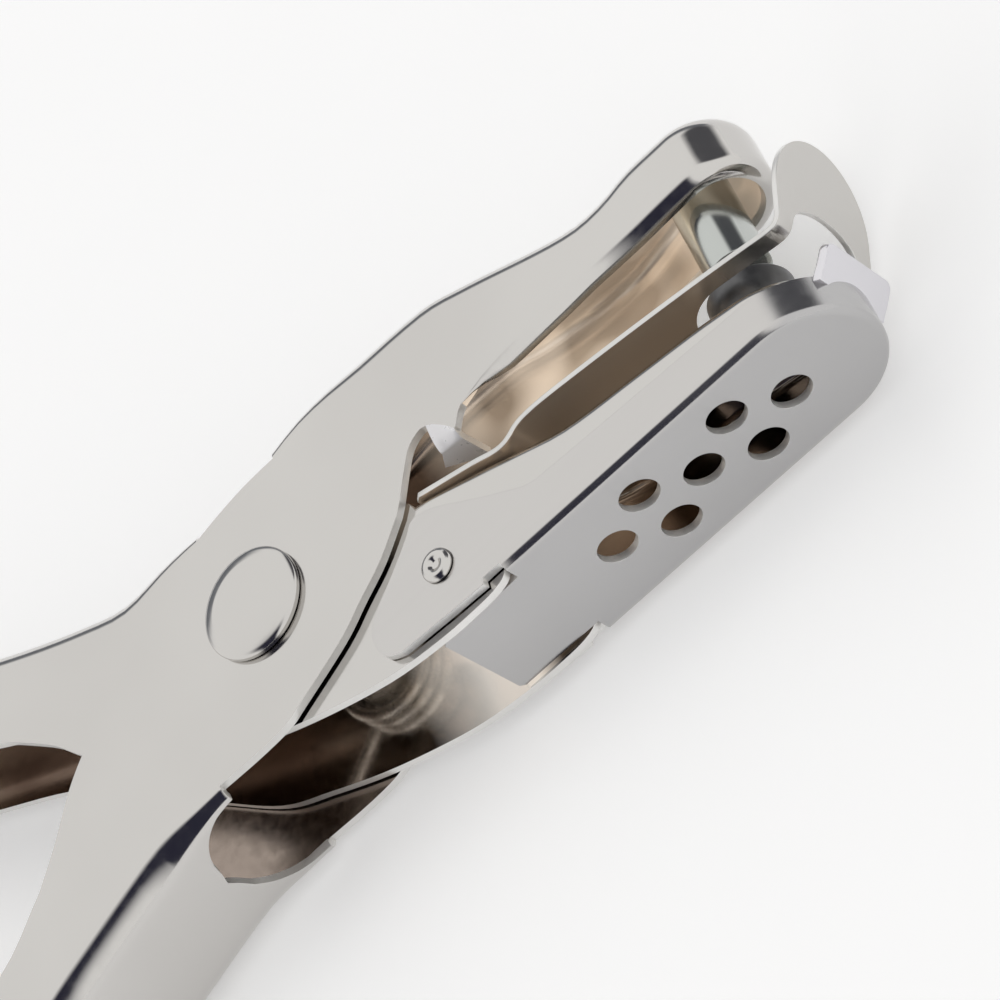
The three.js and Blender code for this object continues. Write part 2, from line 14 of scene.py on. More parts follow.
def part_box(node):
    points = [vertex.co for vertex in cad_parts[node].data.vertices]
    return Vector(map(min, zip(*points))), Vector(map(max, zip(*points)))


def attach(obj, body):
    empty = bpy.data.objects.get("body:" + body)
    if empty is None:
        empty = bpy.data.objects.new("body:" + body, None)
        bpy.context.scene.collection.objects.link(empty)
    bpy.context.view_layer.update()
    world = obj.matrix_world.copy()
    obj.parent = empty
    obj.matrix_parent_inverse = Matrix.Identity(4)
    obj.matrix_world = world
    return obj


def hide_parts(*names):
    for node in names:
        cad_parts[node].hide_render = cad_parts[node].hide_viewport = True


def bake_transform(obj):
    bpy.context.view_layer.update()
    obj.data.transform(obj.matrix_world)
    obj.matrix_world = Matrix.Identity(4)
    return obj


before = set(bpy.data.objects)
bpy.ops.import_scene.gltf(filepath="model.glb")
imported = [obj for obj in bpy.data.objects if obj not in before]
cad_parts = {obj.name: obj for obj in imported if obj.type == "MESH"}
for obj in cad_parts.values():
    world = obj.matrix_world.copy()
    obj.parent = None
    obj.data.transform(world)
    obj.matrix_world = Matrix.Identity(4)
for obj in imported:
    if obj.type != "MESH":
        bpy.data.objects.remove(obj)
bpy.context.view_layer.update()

MM = 0.001


def cad_box_mm(node):
    low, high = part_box(node)
    return low / MM, high / MM


lever_low, lever_high = cad_box_mm("lower_lever")
outer_low, outer_high = cad_box_mm("upper_lever")
cover_low, cover_high = cad_box_mm("chip_catcher")
punch_low, punch_high = cad_box_mm("punch_pin")
rivet_low, rivet_high = cad_box_mm("pivot_rivet")
MIDDLE = (rivet_low.z + rivet_high.z) / 2

# ---------------------------------------------------------------- dimensions
LEVER_SHEET = 0.9
COVER_SHEET = 0.9
STRIP_SHEET = 0.6
UPPER_HALF = (outer_high.z - outer_low.z) / 2
LOWER_HALF = (lever_high.z - lever_low.z) / 2
COVER_HALF = (cover_high.z - cover_low.z) / 2
LOWER_IN = LOWER_HALF - LEVER_SHEET
HANDLE_HALF = UPPER_HALF - 0.65
FOLD = 3.0  # outside radii of the pressed folds
FOLD_START = 1.3
LOWER_FOLD = 1.8
LOWER_FOLD_START = 1.0
COVER_FOLD = 0.8
NOSE = 56.3
UPPER_NOSE = 57.3
UPPER_NOSE_HALF = 5.9
HANDLE_WEB_ARC = 7.1
HANDLE_WEB_END = -11.5
HANDLE_END = -84.0
CLOSE_ANGLE = math.radians(5.5)
COVER_PLATE = cover_low.y
COVER_RIM = -13.3
COVER_NOSE = NOSE + 0.35
COVER_REAR = 23.6
LOWER_RIM = -16.6  # lower edge of the lower jaw's walls
UPPER_JAW_JOIN = 28.5  # where flat walls meet the pressed ends
UPPER_HANDLE_JOIN = -34
LOWER_JAW_JOIN = 36
LOWER_HANDLE_JOIN = -32
PUNCH_RADIUS = (punch_high.x - punch_low.x) / 2
PUNCH_TIP = punch_low.y
PUNCH_X = (punch_high.x + punch_low.x) / 2
HEAD_RADIUS = (rivet_high.x - rivet_low.x) / 2
HEAD_TOP = (rivet_high.z - rivet_low.z) / 2
HEAD_IN = UPPER_HALF + 0.1
PIVOT_SHANK = 2.4
SPACER_BORE = 2.55
SPACER_RADIUS = 3.4
CATCHER_PIN = (19.2, -12.1)

DIE_TOP = -5.3
DIE_RADIUS = 4.3
DIE_SHANK = 3.9
DIE_BORE = 3.25

STRIP_HALF = 7.3
STRIP_SLOT = 5.1  # half-width of the opening round the die
STRIP_SLOT_X = 55.1
FOOT_REAR = 19.4
FOOT_X = 22.6  # a point on the strip's sloping foot
FOOT_Y = -3.42
FOOT_SLOPE = -0.25
FAN_FOOT = (63.9, -7.6)
FAN_ANGLE = math.radians(68)
FAN_STRAIGHT = 3.9  # below the half-round top
FAN_HEIGHT = FAN_STRAIGHT + STRIP_HALF
ARCH_HEIGHT = 2.9  # round top of the opening in the fan
STRIP_RIVET_X = 21.35
STRIP_RIVET_ZS = (3.5, -3.5)

TAB_ROOT = [(26.75, -0.48), (26.52, -0.12), (25.96, 0.7), (24.89, 1.87), (24.2, 2.3)]
TAB_FOLD = 1.1
TAB_FACE = -0.85  # height of the throat tab's face at TAB_REAR
TAB_REAR = 23.4

TONGUE_FRONT = 25.0
TONGUE_REAR = 15.1
TONGUE_HALF = LOWER_IN - 0.3
THUMB_HALF = 5.0
THUMB_CORNER = 0.9
VENT_RADIUS = 2.05
VENT_MIDDLE = 43.7
VENT_PITCH = 5.5
VENT_ROW = 3.2

COIL_RADIUS = 4.7
COIL_PITCH = 1.75
COIL_TURNS = 3.31
COIL_START = math.radians(68)
SPRING_LEGS = [(-20, 14.6), (-21, -12.2)]
WIRE_RADIUS = 0.7

FOLD_STEPS = 8
COVER_FOLD_STEPS = 6
NOSE_STEPS = 20
VENT_STEPS = 40
WEB_ROWS = 4
WALL_ROWS = 3


# ---------------------------------------------------------------- curves
def heights(points):
    """Smooth y(x) through a few points."""
    last = len(points) - 1
    slope = []
    for i in range(last + 1):
        before, after = points[max(i - 1, 0)], points[min(i + 1, last)]
        slope.append((after[1] - before[1]) / (after[0] - before[0]))

    def y(x):
        if x <= points[0][0]:
            return points[0][1] + slope[0] * (x - points[0][0])
        if x >= points[last][0]:
            return points[last][1] + slope[last] * (x - points[last][0])
        i = max(k for k in range(last) if points[k][0] <= x)
        span = points[i + 1][0] - points[i][0]
        t = (x - points[i][0]) / span
        rise = points[i][1] + (points[i + 1][1] - points[i][1]) * t * t * (3 - 2 * t)
        return rise + span * t * (1 - t) * (slope[i] * (1 - t) - slope[i + 1] * t)

    return y


def ease(start, end, x_start, x_end):
    def value(x):
        t = min(max((x - x_start) / (x_end - x_start), 0), 1)
        return start + (end - start) * t * t * (3 - 2 * t)

    return value


def constant(value):
    return lambda x: value


def spline(points, steps=6):
    """Catmull-Rom curve through points, steps pieces between each pair."""
    ends = [points[0]] + list(points) + [points[-1]]
    line = []
    for i in range(1, len(ends) - 2):
        a, b, c, d = (Vector(p) for p in ends[i - 1 : i + 3])
        for k in range(steps):
            t = k / steps
            line.append(
                0.5
                * (2 * b + (c - a) * t + (2 * a - 5 * b + 4 * c - d) * t * t
                   + (3 * b - a - 3 * c + d) * t**3)
            )
    line.append(Vector(points[-1]))
    return [tuple(p) for p in line]


def spread(start, end, count):
    return [start + (end - start) * i / count for i in range(count + 1)]


upper_back = heights([
    (8, 14.4), (13, 15.7), (18, 16.2), (28.5, 15.9), (33.8, 14.5), (40.7, 12.8), (45.5, 12.05),
    (49, 12.4), (52.3, 13.2), (56, 13.3), (60, 13.3), (66, 13.3),
])
upper_lip = heights([(26, 0.9), (28.5, 1.25), (31, 1.7), (34, 1.8), (41, 3), (45, 3.8), (50, 4.3),
                     (56, 4.6), (66, 4.7)])
lower_back = heights([
    (20, -3.2), (26, -4.6), (31, -6.3), (36, -7.9), (45, -9), (52, -9.8), (58, -10.7), (66, -11.4),
])
low_handle_back = heights([
    (-94, -37.5), (-80, -35.2), (-60, -29.6), (-40, -23.4), (-20, -17), (-14, -15.9), (-10, -15.5),
])
low_handle_lip = heights([(-94, -31.5), (-84, -25), (-60, -18.4), (-40, -12.6), (-34, -8.9)])
high_handle_back = heights([
    (-94, 46.2), (-80, 43), (-60, 36), (-40, 26.6), (-27, 19.9), (-20, 16.7), (-15, 14.9), (-9, 14.55),
    (-4, 14.1),
])
high_handle_lip = heights([(-94, 40.6), (-84, 34), (-60, 25), (-40, 14.9), (-32, 10.1)])


# ---------------------------------------------------------------- mesh building
class Skin:
    """A surface put together from faces whose equal corners are shared."""

    def __init__(self):
        self.bm = bmesh.new()
        self.seen = {}

    def vert(self, point):
        key = tuple(round(c * 2000) for c in point)
        if key not in self.seen:
            self.seen[key] = self.bm.verts.new(point)
        return self.seen[key]

    def face(self, points):
        corners = []
        for point in points:
            corner = self.vert(point)
            if corner not in corners:
                corners.append(corner)
        if len(corners) > 2 and not self.bm.faces.get(corners):
            self.bm.faces.new(corners)

    def grid(self, rows):
        for low, high in zip(rows, rows[1:]):
            for i in range(len(low) - 1):
                self.face([low[i], low[i + 1], high[i + 1], high[i]])

    def both(self, points):
        """A face and its mirror image across the middle plane."""
        self.face(points)
        self.face([(x, y, -z) for x, y, z in points])


def linked_object(name, bm, materials):
    """Turns millimetres round the middle plane into metres in the shared frame."""
    mesh = bpy.data.meshes.new(name)
    bm.to_mesh(mesh)
    bm.free()
    mesh.transform(Matrix.Translation((0, 0, MIDDLE * MM)) @ Matrix.Scale(MM, 4))
    for material in materials:
        mesh.materials.append(material)
    mesh.shade_smooth()
    obj = bpy.data.objects.new(name, mesh)
    bpy.context.scene.collection.objects.link(obj)
    return obj


def solid_object(name, bm, material, body, replaces):
    """A closed piece that rides on one body."""
    bmesh.ops.recalc_face_normals(bm, faces=bm.faces)
    obj = linked_object(name, bm, [material])
    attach(obj, body)
    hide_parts(replaces)
    return obj


def flip_if_inward(bm, probe, outward):
    """Makes the open surface face outward: the face nearest probe is the test."""
    bm.faces.ensure_lookup_table()
    nearest = min(bm.faces, key=lambda f: (f.calc_center_median() - Vector(probe)).length)
    nearest.normal_update()
    if nearest.normal.dot(Vector(outward)) < 0:
        bmesh.ops.reverse_faces(bm, faces=bm.faces)


def sheet_object(name, bm, thickness, materials, body, probe, outward, replaces, bevel=0.12):
    """Outer skin made into a sheet: thickness inwards, then small rounded edges."""
    bmesh.ops.recalc_face_normals(bm, faces=bm.faces)
    flip_if_inward(bm, probe, outward)
    obj = linked_object(name, bm, materials)
    solidify = obj.modifiers.new("sheet", "SOLIDIFY")
    solidify.thickness = thickness * MM
    solidify.offset = -1
    solidify.use_even_offset = True
    solidify.use_quality_normals = True
    if len(materials) > 1:
        solidify.material_offset = 1
        solidify.material_offset_rim = 2
    round_edges(obj, bevel)
    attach(obj, body)
    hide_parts(replaces)
    return obj


def round_edges(obj, width, angle=50, segments=2):
    bevel = obj.modifiers.new("edges", "BEVEL")
    bevel.width = width * MM
    bevel.segments = segments
    bevel.limit_method = "ANGLE"
    bevel.angle_limit = math.radians(angle)
    bevel.harden_normals = False
    bevel.use_clamp_overlap = True
    normals = obj.modifiers.new("normals", "WEIGHTED_NORMAL")
    normals.keep_sharp = True
    normals.weight = 80


def dome(skin, xs, nose, half, top, lip, fold, web, wall_from=None, curl=None, gap=None):
    """Outer skin of a pressed channel with a half-round end.

    xs run from the open end to the centre of the end. Walls are left out before wall_from, where
    a flat wall face takes over. curl(x) is the radius of an inward curl along the free edge, and
    the web is left open nearer to the middle than gap(x). Returns the near wall's top edge."""
    ahead = 1 if nose > xs[0] else -1

    def plan(inset):
        line = [(x, half(x) - inset(x)) for x in xs]
        reach = half(nose) - inset(nose)
        for i in range(1, NOSE_STEPS + 1):
            angle = i / NOSE_STEPS * math.pi / 2
            z = reach * math.cos(angle) if i < NOSE_STEPS else 0.0
            line.append((nose + ahead * reach * math.sin(angle), z))
        return line

    def ring(radius, base, side, angle):
        spots = plan(lambda x: radius(x) * (1 - math.cos(angle)))
        return [(x, base(x) - side * radius(x) * (1 - math.sin(angle)), z) for x, z in spots]

    def strips(rings, start):
        for low, high in zip(rings, rings[1:]):
            for i in range(len(low) - 1):
                if (low[i][0] - start) * ahead > -1e-6:
                    skin.both([low[i], low[i + 1], high[i + 1], high[i]])

    angles = [i / FOLD_STEPS * math.pi / 2 for i in range(FOLD_STEPS + 1)]
    rings = [ring(fold, top, web, angle) for angle in angles]
    strips(rings, xs[0])
    wall_top = rings[0]
    start = xs[0] if wall_from is None else wall_from
    foot = [(x, lip(x), z) for x, _, z in wall_top]
    if curl:
        curls = [ring(curl, lip, -web, angle) for angle in angles[::2]]
        strips(curls, start)
        foot = curls[0]
    strips([
        [Vector(low).lerp(Vector(high), r / WALL_ROWS).to_tuple() for low, high in zip(foot, wall_top)]
        for r in range(WALL_ROWS + 1)
    ], start)
    edge = rings[-1]
    for a, b in zip(edge, edge[1:]):
        open_a = min(gap(a[0]), a[2]) if gap else 0.0
        open_b = min(gap(b[0]), b[2]) if gap else 0.0
        for r in range(WEB_ROWS):
            t, u = r / WEB_ROWS, (r + 1) / WEB_ROWS
            skin.both([
                (a[0], a[1], open_a + (a[2] - open_a) * t), (b[0], b[1], open_b + (b[2] - open_b) * t),
                (b[0], b[1], open_b + (b[2] - open_b) * u), (a[0], a[1], open_a + (a[2] - open_a) * u),
            ])
    return wall_top


def near_edge(edge, start, end):
    """The corners of an edge whose x lies from start to end."""
    low, high = min(start, end) - 1e-3, max(start, end) + 1e-3
    return [p for p in edge if low <= p[0] <= high]


def join_column(x, low, high, z, rows=3):
    """Corners down the line where a flat wall meets a dome's wall."""
    return [(x, low + (high - low) * r / rows, z) for r in range(rows + 1)]


def lathe(profile, steps=48, axis="z", place=(0, 0, 0), turn=0.0):
    """Surface of revolution of (radius, height) about z or y, moved to place."""
    bm = bmesh.new()
    rings = []
    for radius, height in profile:
        if radius < 1e-6:
            rings.append([bm.verts.new((0, 0, height))])
            continue
        rings.append([
            bm.verts.new((radius * math.cos(i / steps * math.tau),
                          radius * math.sin(i / steps * math.tau), height))
            for i in range(steps)
        ])
    for low, high in zip(rings, rings[1:]):
        for i in range(steps):
            k = (i + 1) % steps
            corners = []
            for v in (low[i % len(low)], low[k % len(low)], high[k % len(high)], high[i % len(high)]):
                if v not in corners:
                    corners.append(v)
            if len(corners) > 2:
                bm.faces.new(corners)
    if axis == "y":
        bm.transform(Matrix.Rotation(-math.pi / 2, 4, "X"))
    bm.transform(Matrix.Translation(place) @ Matrix.Rotation(turn, 4, "Z"))
    return bm


def rounded(profile, radius=0.12, steps=3):
    """Rounds the inner corners of a profile of (radius, height) points."""
    out = [profile[0]]
    for before, corner, after in zip(profile, profile[1:], profile[2:]):
        a, c, b = Vector(before), Vector(corner), Vector(after)
        cut = min(radius, (a - c).length * 0.45, (b - c).length * 0.45)
        p, q = c + (a - c).normalized() * cut, c + (b - c).normalized() * cut
        for i in range(steps + 1):
            t = i / steps
            out.append(tuple((1 - t) ** 2 * p + 2 * t * (1 - t) * c + t * t * q))
    out.append(profile[-1])
    return out


def bend_flat(bm, centre_line):
    """Maps a flat sheet in (s, z) on to a centre line of (x, y) points, s along it."""
    lengths = [0.0]
    for a, b in zip(centre_line, centre_line[1:]):
        lengths.append(lengths[-1] + (Vector(b) - Vector(a)).length)
    for s in lengths[1:-1]:
        bmesh.ops.bisect_plane(
            bm, geom=bm.verts[:] + bm.edges[:] + bm.faces[:], dist=1e-5,
            plane_co=(s, 0, 0), plane_no=(1, 0, 0),
        )
    for v in bm.verts:
        s = v.co.x
        i = max((k for k in range(len(lengths) - 1) if lengths[k] <= s + 1e-6), default=0)
        t = (s - lengths[i]) / (lengths[i + 1] - lengths[i])
        point = Vector(centre_line[i]).lerp(Vector(centre_line[i + 1]), t)
        v.co = (point.x, point.y, v.co.z)


# ---------------------------------------------------------------- materials
def new_material(name):
    material = bpy.data.materials.new(name)
    material.use_nodes = True
    tree = material.node_tree
    return material, tree.nodes, tree.links, tree.nodes["Principled BSDF"]


def noise_node(nodes, links, scale, detail=3.0, stretch=None, roughness=0.5):
    coords = nodes.new("ShaderNodeTexCoord")
    source = coords.outputs["Object"]
    if stretch:
        mapping = nodes.new("ShaderNodeMapping")
        mapping.inputs["Scale"].default_value = stretch
        mapping.inputs["Rotation"].default_value = (0, 0, math.radians(4))
        links.new(source, mapping.inputs["Vector"])
        source = mapping.outputs["Vector"]
    noise = nodes.new("ShaderNodeTexNoise")
    noise.inputs["Scale"].default_value = scale
    noise.inputs["Detail"].default_value = detail
    noise.inputs["Roughness"].default_value = roughness
    links.new(source, noise.inputs["Vector"])
    return noise.outputs["Fac"]


def ranged(nodes, links, source, low, high, from_low=0.3, from_high=0.7):
    node = nodes.new("ShaderNodeMapRange")
    node.inputs["From Min"].default_value = from_low
    node.inputs["From Max"].default_value = from_high
    node.inputs["To Min"].default_value = low
    node.inputs["To Max"].default_value = high
    links.new(source, node.inputs["Value"])
    return node.outputs["Result"]


def product(nodes, links, values):
    result = values[0]
    for value in values[1:]:
        node = nodes.new("ShaderNodeMath")
        node.operation = "MULTIPLY"
        links.new(result, node.inputs[0])
        links.new(value, node.inputs[1])
        result = node.outputs["Value"]
    return result


def metal(name, dark, light, rough_low, rough_high, wave=0.0, lines=0.0, grain=(1, 1, 1),
          line_scale=900):
    """Plated or bare steel: slow drifts of colour and roughness, press waves, rolling lines."""
    material, nodes, links, shader = new_material(name)
    shader.inputs["Metallic"].default_value = 1.0
    drift = noise_node(nodes, links, 45, 2)
    tint = nodes.new("ShaderNodeMix")
    tint.data_type = "RGBA"
    tint.inputs["A"].default_value = (*dark, 1)
    tint.inputs["B"].default_value = (*light, 1)
    links.new(ranged(nodes, links, drift, 0, 1, 0.3, 0.7), tint.inputs["Factor"])
    links.new(tint.outputs["Result"], shader.inputs["Base Color"])
    fine = noise_node(nodes, links, line_scale, 2, stretch=grain)
    links.new(ranged(nodes, links, fine, rough_low, rough_high), shader.inputs["Roughness"])
    bumps = []
    if wave:
        bumps.append((noise_node(nodes, links, 130, 1.5), wave))
    if lines:
        bumps.append((fine, lines))
    last = None
    for height, depth in bumps:
        bump = nodes.new("ShaderNodeBump")
        bump.inputs["Strength"].default_value = 1.0
        bump.inputs["Distance"].default_value = depth * MM
        links.new(height, bump.inputs["Height"])
        if last:
            links.new(last, bump.inputs["Normal"])
        last = bump.outputs["Normal"]
    if last:
        links.new(last, shader.inputs["Normal"])
    return material


def set_value(material, socket, value):
    material.node_tree.nodes["Principled BSDF"].inputs[socket].default_value = value


def place_factor(material, axis, low, high, middle=None):
    """0 to 1 along one of the tool's axes, in millimetres; with middle, the distance from it."""
    nodes, links = material.node_tree.nodes, material.node_tree.links
    coords = nodes.new("ShaderNodeTexCoord")
    split = nodes.new("ShaderNodeSeparateXYZ")
    links.new(coords.outputs["Object"], split.inputs["Vector"])
    value = split.outputs[axis]
    if middle is not None:
        for operation, operand in (("SUBTRACT", middle), ("ABSOLUTE", 0.0)):
            node = nodes.new("ShaderNodeMath")
            node.operation = operation
            links.new(value, node.inputs[0])
            node.inputs[1].default_value = operand
            value = node.outputs["Value"]
    return ranged(nodes, links, value, 0, 1, low * MM, high * MM)


def drift_colour(material, factor, colour):
    """Moves the base colour towards colour where factor is 1."""
    nodes, links = material.node_tree.nodes, material.node_tree.links
    socket = nodes["Principled BSDF"].inputs["Base Color"]
    mix = nodes.new("ShaderNodeMix")
    mix.data_type = "RGBA"
    links.new(socket.links[0].from_socket, mix.inputs["A"])
    mix.inputs["B"].default_value = (*colour, 1)
    links.new(factor, mix.inputs["Factor"])
    links.new(mix.outputs["Result"], socket)


def drift_value(material, factor, socket, start, end):
    """Moves one shader value from start to end as factor goes from 0 to 1."""
    nodes, links = material.node_tree.nodes, material.node_tree.links
    links.new(ranged(nodes, links, factor, start, end, 0, 1), nodes["Principled BSDF"].inputs[socket])


def patches(material, scale, low, high, from_low, from_high, stretch=None):
    """Soft patches from low to high, as another piece's reflection makes them."""
    nodes, links = material.node_tree.nodes, material.node_tree.links
    noise = noise_node(nodes, links, scale, 1, stretch=stretch)
    return ranged(nodes, links, noise, low, high, from_low, from_high)


def add_glow(material, factors, colour, strength):
    """A little light of its own, for the bounces between plated walls that a render cuts off."""
    glow = product(material.node_tree.nodes, material.node_tree.links, factors)
    set_value(material, "Emission Color", (*colour, 1))
    drift_value(material, glow, "Emission Strength", 0.0, strength)


def make_jaw_inside():
    """Inside of the upper jaw: its warm cream colour and glow are painted light for the light bounced
    between the walls, brightest between the throat and the punch, and it is painted darker behind the
    throat as painted shade.
    """
    material = metal("jaw_inside_painted_light", (0.52, 0.42, 0.33), (0.92, 0.86, 0.78), 0.16, 0.26, wave=0.004)
    in_jaw = place_factor(material, "X", 14, 26)
    drift_value(material, in_jaw, "Metallic", 1.0, 0.5)
    behind_nose = place_factor(material, "X", 66, 50)
    # painted light: a glow from the throat to the nose, in soft patches
    add_glow(material, [in_jaw, behind_nose, patches(material, 110, 0.1, 1, 0.35, 0.6)],
             (1, 0.86, 0.70), 0.48)
    # painted shade: the colour darkens towards the back of the jaw, behind the throat
    drift_colour(material, place_factor(material, "X", 26, 12), (0.34, 0.28, 0.24))
    return material


def make_dark_inside():
    """Inside of the lower lever: its dark colour is painted shade, with a painted glow (painted light) on
    the far wall behind the catcher.
    """
    # painted shade: the dark brown colour stands in for the shade inside the lever and the catcher
    material = metal("inside_painted_shade_and_glow", (0.24, 0.18, 0.15), (0.60, 0.54, 0.48), 0.07, 0.13, wave=0.006)
    far_wall = MIDDLE / MM - 5
    # painted light: a glow on the far wall, in patches
    add_glow(material, [
        place_factor(material, "X", 4, 12),
        place_factor(material, "X", 20, 17),
        place_factor(material, "Z", far_wall, far_wall - 1),
        patches(material, 150, 0, 1, 0.42, 0.58, stretch=(1, 0.3, 1)),
    ], (1, 0.95, 0.88), 0.5)
    return material


def make_tab_nickel():
    # painted light: a lighter, less metallic copy of the nickel so the throat tabs read lit
    material = metal("tab_nickel_painted_light", (0.80, 0.79, 0.80), (0.86, 0.85, 0.87), 0.25, 0.35)
    set_value(material, "Metallic", 0.3)
    return material


def make_strip_under():
    """Underside of the strip: its warm colour up to the fan is painted reflection of the warm inside of
    the jaws.
    """
    material = metal("strip_underside_painted_reflection", (0.62, 0.50, 0.38), (0.72, 0.60, 0.48), 0.18, 0.27, wave=0.004)
    # the painted reflection gives way to plain steel at the fan
    to_fan = place_factor(material, "X", 56, 60)
    drift_value(material, to_fan, "Metallic", 0.7, 1.0)
    drift_colour(material, to_fan, (0.60, 0.585, 0.56))
    return material


def make_cut_edge():
    material = metal("sheared_edge", (0.66, 0.65, 0.63), (0.90, 0.89, 0.87), 0.28, 0.42, lines=0.006,
                     grain=(1, 1, 0.08), line_scale=1600)
    set_value(material, "Metallic", 0.6)
    return material


def make_cover_nickel():
    """The catcher's satin plate, painted darker than its walls as painted shade; the walls keep the
    brighter plated tone.
    """
    material = metal("cover_plate_painted_shade", (0.47, 0.465, 0.465), (0.50, 0.495, 0.495), 0.18, 0.25, wave=0.004,
                     lines=0.0005, grain=(0.06, 1, 1))
    # painted shade: the plate keeps the darker colour, and the walls drift back to the plated tone
    wall_out_of_painted_shade = place_factor(material, "Z", 7.3, 8.0, MIDDLE * MM)
    drift_colour(material, wall_out_of_painted_shade, (0.59, 0.575, 0.56))
    return material


def make_wire_steel():
    material = metal("spring_wire", (0.72, 0.70, 0.66), (0.82, 0.80, 0.76), 0.20, 0.32, lines=0.001,
                     line_scale=1500)
    set_value(material, "Metallic", 0.6)
    return material


nickel = metal("nickel_plate", (0.585, 0.57, 0.55), (0.62, 0.605, 0.585), 0.09, 0.15, wave=0.006)
jaw_inside_painted_light = make_jaw_inside()
inside_painted_shade_and_glow = make_dark_inside()
tab_nickel_painted_light = make_tab_nickel()
thumb_nickel = metal("thumb_nickel", (0.69, 0.68, 0.71), (0.74, 0.73, 0.76), 0.16, 0.24, wave=0.004)
strip_under_painted_reflection = make_strip_under()
cut_edge = make_cut_edge()
cover_nickel = make_cover_nickel()
strip_steel = metal("strip_steel", (0.56, 0.55, 0.52), (0.62, 0.60, 0.57), 0.18, 0.27, wave=0.004,
                    lines=0.0004, grain=(1, 1, 0.05), line_scale=1400)
polished = metal("polished_steel", (0.47, 0.49, 0.47), (0.56, 0.58, 0.56), 0.12, 0.20, lines=0.0005,
                 grain=(1, 0.05, 1), line_scale=1500)
blackened = metal("blackened_steel", (0.10, 0.10, 0.105), (0.17, 0.17, 0.17), 0.30, 0.45, lines=0.002,
                  line_scale=1200)
wire_steel = make_wire_steel()
# skin, inside and edge; the upper lever's second set is for its throat tabs
# the insides carry painted light and shade; the throat tabs' skin is the lighter tab nickel, painted light
UPPER_METALS = [nickel, jaw_inside_painted_light, cut_edge, tab_nickel_painted_light, jaw_inside_painted_light, cut_edge]
LOWER_METALS = [nickel, inside_painted_shade_and_glow, cut_edge]
TAB_SLOT = 3


# ---------------------------------------------------------------- levers
def tab_face(x):
    """The tab's face lies along the strip's foot when the jaws are closed."""
    return TAB_FACE + (FOOT_SLOPE + math.tan(CLOSE_ANGLE)) * (x - TAB_REAR)


def throat_tabs(skin):
    """The wall's lower edge is bent in to a small tab on each side."""
    for side in (1, -1):
        rows = []
        for k, (root_x, root_y) in enumerate(TAB_ROOT):
            back = k / (len(TAB_ROOT) - 1)
            flat_x, inner_x = 26.7 - 2.7 * back, 26.8 - 3.9 * back
            row = []
            for i in range(9):
                angle = i / 8 * math.pi / 2
                x = root_x + (flat_x - root_x) * math.sin(angle)
                face = tab_face(flat_x)
                row.append((x, face + (root_y - face) * (1 - math.sin(angle)),
                            side * (UPPER_HALF - TAB_FOLD * (1 - math.cos(angle)))))
            row.append((inner_x, tab_face(inner_x), side * (3.2 + 2.3 * back)))
            rows.append(row)
        before = len(skin.bm.faces)
        skin.grid(rows)
        for face in list(skin.bm.faces)[before:]:
            face.material_index = TAB_SLOT


def build_upper_lever():
    skin = Skin()
    join, handle = UPPER_JAW_JOIN, UPPER_HANDLE_JOIN
    jaw_xs = sorted(set(spread(8, join, 10) + spread(join, UPPER_NOSE, 20)))
    half = ease(UPPER_HALF, UPPER_NOSE_HALF, 30, 52)
    jaw_edge = dome(skin, jaw_xs, UPPER_NOSE, half, upper_back, upper_lip,
                    ease(FOLD_START, FOLD, 8, 22), 1, wall_from=join, curl=ease(0.05, 1.6, join, 35))
    handle_xs = sorted(set(spread(-11, -20, 18) + spread(-20, handle, 8) + spread(handle, HANDLE_END, 26)),
                       reverse=True)
    handle_half = ease(UPPER_HALF, HANDLE_HALF, handle, -46)

    def arc(x):
        reach = HANDLE_WEB_ARC**2 - (x - HANDLE_WEB_END) ** 2
        return math.sqrt(reach) if reach > 0 else 0.0

    handle_edge = dome(skin, handle_xs, HANDLE_END, handle_half, low_handle_back, low_handle_lip,
                       ease(FOLD_START, FOLD, -11, -22), -1, wall_from=handle, gap=arc)
    free_low = (
        spline([(join, upper_lip(join) + 0.05), (27.9, 0.85), (27.3, 0.1), (26.95, -0.42)])
        + TAB_ROOT
        + spline([(24.2, 2.3), (23.4, 2.45), (22.3, 2.1), (21.3, 1.35), (20, -0.4), (18.4, -2.8)])[1:]
        + spline([(17.6, -3.8), (14.1, -6.7), (10.5, -8.8), (6.9, -10.9), (0.5, -13.4), (-2, -14.25),
                  (-6, -14.5), (-11, -14.4)])
    )
    handle_join = near_edge(handle_edge, handle, handle)[0]
    free_high = spline([(handle, low_handle_lip(handle)), (-30.6, -5.6), (-27, -1.6), (-23.6, 1.2),
                        (-18.2, 4.6), (-10, 9.2), (-5.8, 11.1), (-2, 12.1), (2.1, 12.8), (5, 13.05),
                        (8, 13.1)])
    wall = [(x, y, UPPER_HALF) for x, y in free_low]
    wall += near_edge(handle_edge, handle, -11)
    wall += join_column(handle, handle_join[1], low_handle_lip(handle), UPPER_HALF)[1:-1]
    wall += [(x, y, UPPER_HALF) for x, y in free_high]
    wall += near_edge(jaw_edge, 8, join)
    jaw_join = near_edge(jaw_edge, join, join)[0]
    wall += join_column(join, jaw_join[1], upper_lip(join) + 0.05, UPPER_HALF)[1:-1]
    skin.both(wall)
    throat_tabs(skin)
    return sheet_object("upper_lever_pressing", skin.bm, LEVER_SHEET, UPPER_METALS, "upper_lever_body",
                        (0, 0, UPPER_HALF), (0, 0, 1), "upper_lever")


